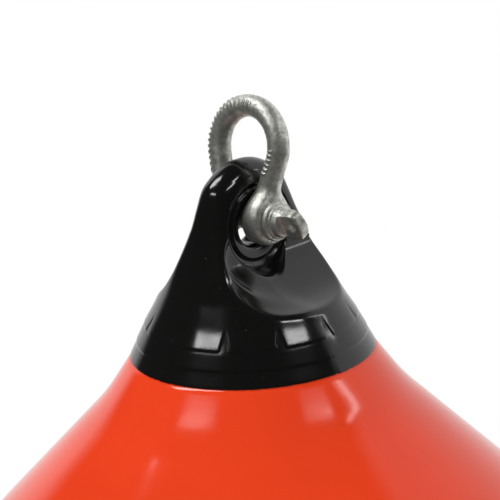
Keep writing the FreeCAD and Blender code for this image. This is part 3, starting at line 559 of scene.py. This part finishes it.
def bell_field(f, x, y, z, r):
    """The head before its scoops: three tiers of skirt, a cone, a steeper flank and a dome."""

    def skirt(steps):
        edge = f.skirt_radius + f.tier_step * steps - z * tan(SKIRT_SLOPE)
        return (r - edge) * cos(SKIRT_SLOPE)

    turn = math.tau / NOTCHES
    around = f.math("ARCTAN2", y, x)
    folded = f.math("WRAP", around + turn / 2, turn, 0.0) - turn / 2
    narrowing = f.notch_width / 2 * (1.0 - (z - f.notch_line) / f.notch_height)
    notch = abs(r * folded) - narrowing
    line_radius = f.skirt_radius + f.tier_step * UPPER_STEPS - f.notch_line * tan(SKIRT_SLOPE)
    upper = (r - (line_radius - (z - f.notch_line) * tan(UPPER_SLOPE))) * cos(UPPER_SLOPE)
    middle_tier = f.meet(f.most(skirt(1), upper + f.notch_depth), f.band_height - z, 0.9)
    upper_tier = f.meet(upper, f.notch_line - z, 1.3)
    bend_radius = line_radius - (f.bend_height - f.notch_line) * tan(UPPER_SLOPE)
    cone = (r - (bend_radius - (z - f.bend_height) * tan(CONE_SLOPE))) * cos(CONE_SLOPE)
    flank_radius = bend_radius - (f.flank_height - f.bend_height) * tan(CONE_SLOPE)
    flank = (r - (flank_radius - (z - f.flank_height) * tan(FLANK_SLOPE))) * cos(FLANK_SLOPE)
    upper_tier = f.join(upper_tier, f.join(cone, flank, softness(150, 8.1)), softness(60, 7.2))
    upper_tier = f.meet(upper_tier, -notch, 1.0)
    bell = f.join(f.join(upper_tier, middle_tier, 0.3), skirt(0), 0.3)
    dome_up = z - (f.crown_height - f.dome_radius)
    ball = f.span(r, dome_up) - f.dome_radius
    dome = f.pick(dome_up > 0.0, r - f.dome_radius + dome_up, ball)
    return f.meet(bell, dome, softness(13, 32))


def scoop_field(f, wide, z):
    """What a scoop takes off each side: a fin's side that sweeps out to a shallow foot."""
    upper = (f.fin_half + (f.scoop_start - z) * tan(SCOOP_SLOPE) - wide) * cos(SCOOP_SLOPE)
    bend_x = f.fin_half + (f.scoop_start - f.scoop_bend_height) * tan(SCOOP_SLOPE)
    centre_x = bend_x + SCOOP_RADIUS * cos(SCOOP_SLOPE)
    centre_z = f.scoop_bend_height + SCOOP_RADIUS * sin(SCOOP_SLOPE)
    out, up = wide - centre_x, z - centre_z
    sweep = f.span(out, up) - SCOOP_RADIUS
    foot = -(out * cos(SCOOP_FOOT_SLOPE) + up * sin(SCOOP_FOOT_SLOPE)) - SCOOP_RADIUS
    past_upper = (out * sin(SCOOP_SLOPE) - up * cos(SCOOP_SLOPE)) > 0.0
    past_sweep = (out * sin(SCOOP_FOOT_SLOPE) - up * cos(SCOOP_FOOT_SLOPE)) > 0.0
    side = f.pick(past_upper, upper, f.pick(past_sweep, sweep, foot))
    return f.meet(f.fin_half - wide, side, softness(60, SCOOP_SLOPE))


def dish_field(f, y, wide, z):
    """The dished floor under the eye: an oval shifted to +Y, and open there in its lower half."""
    slant = (f.dish_half + (f.dish_bend_height - z) * tan(DISH_SLOPE) - wide) * cos(DISH_SLOPE)
    floor = f.meet(f.dish_half - wide, slant, softness(25, DISH_SLOPE))
    shifted = y - DISH_SHIFT
    aside = f.pick(z > f.dish_middle, f.least(shifted, 0.0), shifted)
    rim = f.span(aside * (f.dish_height / f.dish_width), z - f.dish_middle) - f.dish_height
    cove = COVE - f.ramp(y, *COVE_RANGE) * COVE_LOSS
    return f.meet(floor, rim, cove)


def eye_field(f, y, wide, z):
    """The rope eye: a throat with round mouths, a raised boss and the ears' round hollow."""
    ring = f.span(y, z - f.eye_height)
    face = f.most(f.boss_half - wide, ring - BOSS_RADIUS)
    mouth = f.join(ring - f.eye_radius, face, softness(5, 90))
    chamfer = (f.groove_half - wide + GROOVE_RADIUS - ring) * cos(45)
    groove = f.most(f.groove_half - wide, chamfer)
    draft = (wide - f.groove_half) * HOLLOW_DRAFT
    wall = (ring - f.hollow_radius + HOLLOW_INSET - draft) * DRAFT_SCALE
    return f.join(mouth, f.meet(groove, wall, softness(3.5, 60)), 0.8)


def head_tree(finish):
    f = Field("Vinyl Head", HEAD_FOOT, HEAD_SIZES)
    x, y, z = f.along((1, 0, 0)), f.along((0, 1, 0)), f.along((0, 0, 1))
    wide, r = abs(x), f.span(x, y)
    body = bell_field(f, x, y, z, r)
    edge = FIN_EDGE
    for low, high, gain in FIN_EDGE_GAINS:
        edge = edge + f.ramp(z, low, high) * gain
    body = f.meet(body, -scoop_field(f, wide, z), edge)
    body = f.meet(body, -dish_field(f, y, wide, z), 1.6)
    body = f.meet(body, -eye_field(f, y, wide, z), 1.0)
    neck = (r - (f.skirt_radius - NECK_WALL - z * tan(NECK_SLOPE))) * cos(NECK_SLOPE)
    neck = f.most(neck, z - NECK_TOP + r * r * (NECK_TOP_DROP / NECK_TOP_RADIUS ** 2))
    body = body + f.noise(f.place, SKIN_WAVES, detail=1.0) * f.waviness
    body = f.most(body, -neck, -z)
    margin = Vector((0.0015, 0.0015, 0.0015))
    f.grow(body, HEAD_LOW - margin, HEAD_HIGH + margin, finish)
    return f


class BUOY_OT_head(bpy.types.Operator):
    """Moulded head over the float's neck"""

    bl_idname = "buoy.head"
    bl_label = "Head"

    def execute(self, context):
        scene = context.scene
        finish = material(moulded_black, scene.buoy_vinyl)
        values = {"grain": grain(scene), "waviness": scene.buoy_vinyl.waviness}
        piece = hardened("head_skin", head_tree(finish), values, finish, share=0.3)
        declare(piece, "buoy", ["eye_head"])
        return {"FINISHED"}


# Shackle


BOW_SIZES = {
    "grain": 0.4, "wire": 6.35, "ear_middle": 17.2, "leg_straight": 12.0, "leg_bend": 25.0,
    "crown_radius": 23.0, "crown_middle": 39.15, "ear_radius": 15.1, "ear_half": 6.9,
    "plain_bore": 8.75, "tapped_bore": 8.06, "lumps": 0.22,
}
LEG_SLOPE = 15.8
# Heights over the pin up to which the ears' inner and outer faces are flat
INNER_FACE_TOP, OUTER_FACE_TOP = 18.0, 9.0
FORGED_EDGE, BORE_EDGE = 0.6, 1.2
# Raised bars: half widths, pitches and slants, with the crown's pitch in radians
LEFT_BAR, TOP_BAR, LEG_BAR, BAR_RISE, BAR_EDGE = 0.66, 0.5, 0.6, 0.7, 0.5
CROWN_PITCH, CROWN_SLANT, LEG_PITCH, LEG_SLANT = 0.125, 0.016, 2.9, 0.25
# The crown's radius outside, and on its face
OUTER_RADIUS, FACE_RADIUS = 29.0, 23.0
# Where the bars lie: the middle and half of a range, or its start
LEFT_TURN, LEFT_ACROSS, LEFT_START = (0.25, 0.9), (-3.2, 2.8), 1.5
TOP_TURN, TOP_OUTWARD = (1.46, 0.26), (1.2, 2.2)
LEG_UP, LEG_OUTWARD = (32.5, 7.0), (-1.2, 1.9)
FACE_START = 3.0


def bow_line(f, wide, up):
    """How far a place lies outside the bow's centre line, in the bow's plane."""
    bend_out = wide - (f.ear_middle + f.leg_bend)
    bend_up = up - f.leg_straight
    straight = wide - f.ear_middle
    bend = f.leg_bend - f.span(bend_out, bend_up)
    lean = f.leg_bend + bend_out * cos(LEG_SLOPE) - bend_up * sin(LEG_SLOPE)
    crown_up = up - f.crown_middle
    crown = f.span(wide, crown_up) - f.crown_radius
    past_straight = up > f.leg_straight
    past_bend = (bend_out * sin(LEG_SLOPE) + bend_up * cos(LEG_SLOPE)) > 0.0
    past_lean = (wide * sin(LEG_SLOPE) + crown_up * cos(LEG_SLOPE)) > 0.0
    return f.pick(past_straight, straight,
                  f.pick(past_bend, bend, f.pick(past_lean, lean, crown)))


def raised_marks(f, rod, x, across, up):
    """Short raised bars of the forging die: round the left of the crown and up the right leg."""

    def beyond(value, middle, half):
        return abs(value - middle) - half

    turn = f.math("ARCTAN2", up - f.crown_middle, -x)
    outward = f.span(x, up - f.crown_middle) - f.crown_radius
    step = f.math("WRAP", turn + across * CROWN_SLANT, CROWN_PITCH, 0.0) - CROWN_PITCH / 2
    rung = f.math("WRAP", up + x * LEG_SLANT, LEG_PITCH, 0.0) - LEG_PITCH / 2
    left = f.most(abs(step) * OUTER_RADIUS - LEFT_BAR, beyond(turn, *LEFT_TURN),
                  beyond(across, *LEFT_ACROSS), LEFT_START - outward)
    top = f.most(abs(step) * FACE_RADIUS - TOP_BAR, beyond(turn, *TOP_TURN),
                 beyond(outward, *TOP_OUTWARD), across + FACE_START)
    leg = f.most(abs(rung) - LEG_BAR, beyond(up, *LEG_UP), beyond(outward, *LEG_OUTWARD),
                 across + FACE_START, -x)
    return f.meet(f.least(left, top, leg), rod - BAR_RISE, BAR_EDGE)


def bow_tree(finish):
    f = Field("Forged Bow", PIN_AXIS, BOW_SIZES)
    x, across, up = f.along((1, 0, 0)), f.along(BOW_ACROSS), f.along(BOW_UP)
    wide = abs(x)
    lump = f.noise(f.place, 7.0, detail=2.5) * f.lumps
    rod = f.span(bow_line(f, wide, up), across) - f.wire
    rod = f.most(rod, -up)
    disc = f.meet(f.span(across, up) - f.ear_radius, abs(wide - f.ear_middle) - f.ear_half,
                  softness(4.4, 90))
    forged = f.join(rod, disc, softness(10, 60)) + lump
    forged = f.join(forged, raised_marks(f, rod, x, across, up), FORGED_EDGE)
    jaw = (f.ear_middle - f.ear_half) - wide
    body = f.meet(forged, f.least(jaw, INNER_FACE_TOP - up), FORGED_EDGE)
    face = wide - (f.ear_middle + f.ear_half)
    body = f.meet(body, f.least(face, OUTER_FACE_TOP - up), FORGED_EDGE)
    bore = f.pick(x > 0.0, f.tapped_bore, f.plain_bore)
    body = f.meet(body, bore - f.span(across, up), BORE_EDGE)
    low, high = (Vector(corner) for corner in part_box("shackle_bow"))
    margin = Vector((0.001, 0.001, 0.001))
    f.grow(body, low - margin, high + margin, finish)
    return f


class BUOY_OT_bow(bpy.types.Operator):
    """Forged bow of the shackle"""

    bl_idname = "buoy.bow"
    bl_label = "Shackle bow"

    def execute(self, context):
        scene = context.scene
        finish = material(galvanised_zinc, scene.buoy_zinc)
        values = {"grain": grain(scene, scale=0.7), "lumps": scene.buoy_zinc.lumps}
        piece = hardened("bow_skin", bow_tree(finish), values, finish, share=0.5)
        declare(piece, "shackle", ["shackle_bow"])
        return {"FINISHED"}


PIN_SIZES = {
    "grain": 0.3, "pin_radius": 8.0, "ear_face": 24.1, "tip_length": 2.5, "collar": 3.4,
    "collar_radius": 11.5, "ring": 1.3, "ring_radius": 9.8, "neck": 4.2, "neck_radius": 8.7,
    "paddle": 13.0, "paddle_root": 14.0, "paddle_height": 19.0, "paddle_half": 3.5,
    "hole_radius": 2.75, "hole_place": 6.5, "lumps": 0.12,
}
PADDLE_TURN = 28.0
PADDLE_BULGE, PADDLE_TAPER_END, RING_OVERLAP = 16.5, 3.0, 1.0


def pin_tree(finish):
    f = Field("Screw Pin", PIN_AXIS, PIN_SIZES)
    turn = Vector((0, cos(PADDLE_TURN), sin(PADDLE_TURN)))
    rise = Vector((0, -sin(PADDLE_TURN), cos(PADDLE_TURN)))
    x, thick, high = f.along((1, 0, 0)), f.along(turn), f.along(rise)
    r = f.span(thick, high)
    lump = f.noise(f.place, 5.0, detail=2.5) * f.lumps
    shank = f.meet(r - f.pin_radius, -(x + f.ear_face + f.tip_length), 1.6)
    shank = f.most(shank, x - f.ear_face)
    collar_end = f.ear_face + f.collar
    collar = f.meet(r - f.collar_radius, abs(x - (f.ear_face + f.collar / 2)) - f.collar / 2, 1.7)
    ring_end = collar_end + f.ring
    ring = f.meet(f.most(r - f.ring_radius, collar_end - RING_OVERLAP - x), x - ring_end, 0.8)
    neck_end = ring_end + f.neck
    neck = f.meet(f.most(r - f.neck_radius, collar_end - x), x - neck_end, 3.0)
    tail = neck_end + f.paddle
    grown = (x - ring_end) / (tail - PADDLE_TAPER_END - ring_end)
    half = f.paddle_root / 2 + (f.paddle_height - f.paddle_root) / 2 * grown
    bulge = f.span(x - (tail - PADDLE_BULGE), high) - PADDLE_BULGE
    sides = f.meet(abs(high) - half, f.most(bulge, collar_end - x), 4.0)
    paddle = f.meet(sides, abs(thick) - f.paddle_half, 1.9)
    hole = f.hole_radius - f.span(x - (neck_end + f.hole_place), high)
    paddle = f.meet(paddle, hole, 1.0)
    body = f.join(f.join(collar, shank, 0.6), ring, 0.8)
    body = f.join(body, f.join(neck, paddle, 2.5) + lump, 1.0)
    low, up = (Vector(corner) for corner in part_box("shackle_pin"))
    margin = Vector((0.0008, 0.0008, 0.0008))
    f.grow(body, low - margin, up + margin, finish)
    return f


class BUOY_OT_pin(bpy.types.Operator):
    """Screw pin of the shackle"""

    bl_idname = "buoy.pin"
    bl_label = "Shackle pin"

    def execute(self, context):
        scene = context.scene
        finish = material(galvanised_zinc, scene.buoy_zinc)
        values = {"grain": grain(scene, scale=0.6)}
        piece = hardened("pin_skin", pin_tree(finish), values, finish, share=0.5)
        declare(piece, "pin", ["shackle_pin"])
        return {"FINISHED"}


# Valve


class BUOY_OT_valve(bpy.types.Operator):
    """Seat, plug and seal of the valve at the float's bottom"""

    bl_idname = "buoy.valve"
    bl_label = "Valve"

    def execute(self, context):
        plastic = material(satin_plastic)
        for node in ("valve_seat", "valve_screw"):
            dress(node, plastic)
        dress("valve_o_ring", material(dusty_rubber))
        return {"FINISHED"}


def dress(node, finish):
    """Gives a piece of the frame its finish."""
    piece = bpy.data.objects[node]
    piece.data.materials.clear()
    piece.data.materials.append(finish)


# Stage


AZIMUTH, ELEVATION, ROLL = 45.19, 16.49, -3.66
LENS, SENSOR = 161.55, 36.0
AIM = (1.68, -56.44)
# Name, azimuth, elevation, roll, width and height in metres, radiance
SOFT_BOXES = (
    ("overhead", -54.0, 60.0, 0.0, 0.62, 1.60, 13.0),
    ("front_right", 101.0, 38.0, -16.0, 1.10, 0.19, 16.0),
    ("front_left", -10.0, 38.0, 16.0, 1.35, 0.19, 16.0),
    ("back_right", 135.0, 29.0, 45.0, 0.08, 1.20, 9.0),
)
LAMP_DISTANCE, LAMP_AIM_HEIGHT = 3.0, 0.04


def towards(azimuth, elevation):
    """Direction from the object to a viewer: azimuth 0 is the front, 90 is the +X side."""
    return Vector((sin(azimuth) * cos(elevation), -cos(azimuth) * cos(elevation), sin(elevation)))


def add_camera(distance):
    """A camera that looks at the head from the photo's side."""
    back = towards(AZIMUTH, ELEVATION)
    level = Vector((cos(AZIMUTH), sin(AZIMUTH), 0.0))
    upright = back.cross(level)
    right = level * cos(ROLL) + upright * sin(ROLL)
    up = upright * cos(ROLL) - level * sin(ROLL)
    camera = bpy.data.cameras.new("camera")
    camera.lens, camera.sensor_width = LENS, SENSOR
    camera.clip_start, camera.clip_end = 0.05, 50
    holder = bpy.data.objects.new("camera", camera)
    place = HEAD_FOOT + back * distance - (right * AIM[0] + up * AIM[1]) * MM
    turn = Matrix((right, up, back)).transposed()
    holder.matrix_world = Matrix.Translation(place) @ turn.to_4x4()
    bpy.context.scene.collection.objects.link(holder)
    bpy.context.scene.camera = holder
    return holder


def soft_box(name, azimuth, elevation, roll, width, height, radiance, target):
    """An area lamp of a given radiance that faces the target from a direction."""
    lamp = bpy.data.lights.new(name, "AREA")
    lamp.shape, lamp.size, lamp.size_y = "RECTANGLE", width, height
    lamp.energy = radiance * math.pi * width * height
    holder = bpy.data.objects.new(name, lamp)
    away = towards(azimuth, elevation)
    holder.location = target + away * LAMP_DISTANCE
    turn = away.to_track_quat("Z", "Y") @ Quaternion((0, 0, 1), math.radians(roll))
    holder.rotation_euler = turn.to_euler()
    bpy.context.scene.collection.objects.link(holder)
    return holder


WHITE = (1, 1, 1)
STUDIO_DARK = (0.03, 0.03, 0.03)
# In reflections: where the backdrop is, and the soft edges of its sides and top
BACKDROP = towards(198.0, 0.0)
BACKDROP_SIDES, BACKDROP_TOP = (0.26, 0.42), (sin(54), sin(47))
# Shares of the even light that come from below and from above
AMBIENT_SHARES = (0.7, 1.3)
# The floor's radius and its gap under the float in metres, and its fade in millimetres
FLOOR_RADIUS, FLOOR_GAP, FLOOR_FADE = 6.0, 0.0006, (380.0, 700.0)


def add_room(ambient, backdrop):
    """White for the camera; in reflections a dark studio with a bright backdrop."""
    world = bpy.data.worlds.new("studio")
    bpy.context.scene.world = world
    world.use_nodes = True
    world.node_tree.nodes.clear()
    tree = Nodes(world.node_tree)
    path = tree.node("ShaderNodeLightPath").outputs
    tree.place = tree.node("ShaderNodeTexCoord").outputs["Generated"]
    height = tree.along((0, 0, 1))
    lit = tree.ramp(tree.along(BACKDROP), *BACKDROP_SIDES) * tree.ramp(height, *BACKDROP_TOP)
    seen = tree.mix_colour(lit, STUDIO_DARK, (backdrop,) * 3)
    below, above = ((ambient * share,) * 3 for share in AMBIENT_SHARES)
    even = tree.mix_colour(tree.ramp(height, -1.0, 1.0), below, above)
    tone = tree.mix_colour(Term(tree, path["Is Glossy Ray"]), even, seen)
    seen_through = tree.most(Term(tree, path["Is Camera Ray"]),
                             Term(tree, path["Is Transmission Ray"]))
    tone = tree.mix_colour(seen_through, tone, WHITE)
    room = tree.node("ShaderNodeBackground", inputs={"Color": tone, "Strength": 1.0})
    tree.node("ShaderNodeOutputWorld", inputs={"Surface": room.outputs[0]})


def floor_finish(backdrop):
    """Pale floor that fades into the white behind it, or into the dark studio in front."""
    f = Finish("floor_paper")
    path = f.node("ShaderNodeLightPath").outputs
    glossy = Term(f, path["Is Glossy Ray"])
    looked_at = f.most(Term(f, path["Is Camera Ray"]), glossy, Term(f, path["Is Transmission Ray"]))
    far = f.span(f.along((1, 0, 0)), f.along((0, 1, 0)))
    fade = f.ramp(far, *FLOOR_FADE)
    tone = f.mix_colour(f.ramp(f.noise(f.place, 300.0), -1.0, 1.0),
                        (0.86, 0.86, 0.86), (0.88, 0.88, 0.88))
    paper = f.node("ShaderNodeBsdfDiffuse", inputs={"Color": tone})
    lit = f.ramp(f.along(BACKDROP) / far, *BACKDROP_SIDES)
    seen = f.mix_colour(lit, STUDIO_DARK, (backdrop,) * 3)
    glow = f.node("ShaderNodeEmission", inputs={
        "Color": f.mix_colour(glossy, WHITE, seen), "Strength": 1.0})
    mixed = f.node("ShaderNodeMixShader",
                   inputs={0: fade * looked_at, 1: paper.outputs[0], 2: glow.outputs[0]})
    f.node("ShaderNodeOutputMaterial", inputs={"Surface": mixed.outputs[0]})
    return f.material


def add_floor(backdrop):
    """A round floor just under the float."""
    shape = bmesh.new()
    bmesh.ops.create_circle(shape, cap_ends=True, segments=96, radius=FLOOR_RADIUS)
    mesh = bpy.data.meshes.new("floor")
    shape.to_mesh(mesh)
    shape.free()
    mesh.materials.append(floor_finish(backdrop))
    floor = plain_object("floor", mesh)
    floor.location.z = FLOAT_LOW.z - FLOOR_GAP
    return floor


class BUOY_OT_stage(bpy.types.Operator):
    """Camera, floor, soft boxes and a white room"""

    bl_idname = "buoy.stage"
    bl_label = "Stage"

    def execute(self, context):
        scene = context.scene
        settings = scene.buoy_stage
        target = HEAD_FOOT + Vector((0, 0, LAMP_AIM_HEIGHT))
        things = [add_camera(settings.distance), add_floor(settings.backdrop)]
        for *place, radiance in SOFT_BOXES:
            things.append(soft_box(*place, radiance * settings.light, target))
        add_room(settings.ambient, settings.backdrop)
        scene.view_settings.view_transform = "Standard"
        return {"FINISHED"}


# Add-on


class BUOY_PT_panel(bpy.types.Panel):
    """Buttons that build the buoy"""

    bl_idname = "BUOY_PT_panel"
    bl_label = "Marker Buoy"
    bl_space_type = "VIEW_3D"
    bl_region_type = "UI"
    bl_category = "Buoy"

    def draw(self, context):
        scene = context.scene
        for group in (scene.buoy_vinyl, scene.buoy_zinc, scene.buoy_stage, scene.buoy_detail):
            box = self.layout.box()
            for name in group.__annotations__:
                box.prop(group, name)
        for operator in OPERATORS:
            self.layout.operator(operator.bl_idname)


OPERATORS = (BUOY_OT_float, BUOY_OT_head, BUOY_OT_bow, BUOY_OT_pin, BUOY_OT_valve, BUOY_OT_stage)
SETTINGS = {"buoy_vinyl": VinylSettings, "buoy_zinc": ZincSettings, "buoy_stage": StageSettings,
            "buoy_detail": DetailSettings}


def register():
    for settings in SETTINGS.values():
        bpy.utils.register_class(settings)
    for name, settings in SETTINGS.items():
        setattr(bpy.types.Scene, name, PointerProperty(type=settings))
    for thing in (*OPERATORS, BUOY_PT_panel):
        bpy.utils.register_class(thing)


def unregister():
    for thing in reversed((*OPERATORS, BUOY_PT_panel)):
        bpy.utils.unregister_class(thing)
    for name in SETTINGS:
        delattr(bpy.types.Scene, name)
    for settings in reversed(SETTINGS.values()):
        bpy.utils.unregister_class(settings)


def main():
    register()
    bpy.ops.buoy.float()
    bpy.ops.buoy.head()
    bpy.ops.buoy.bow()
    bpy.ops.buoy.pin()
    bpy.ops.buoy.valve()
    bpy.ops.buoy.stage()


if __name__ == "__main__":
    main()
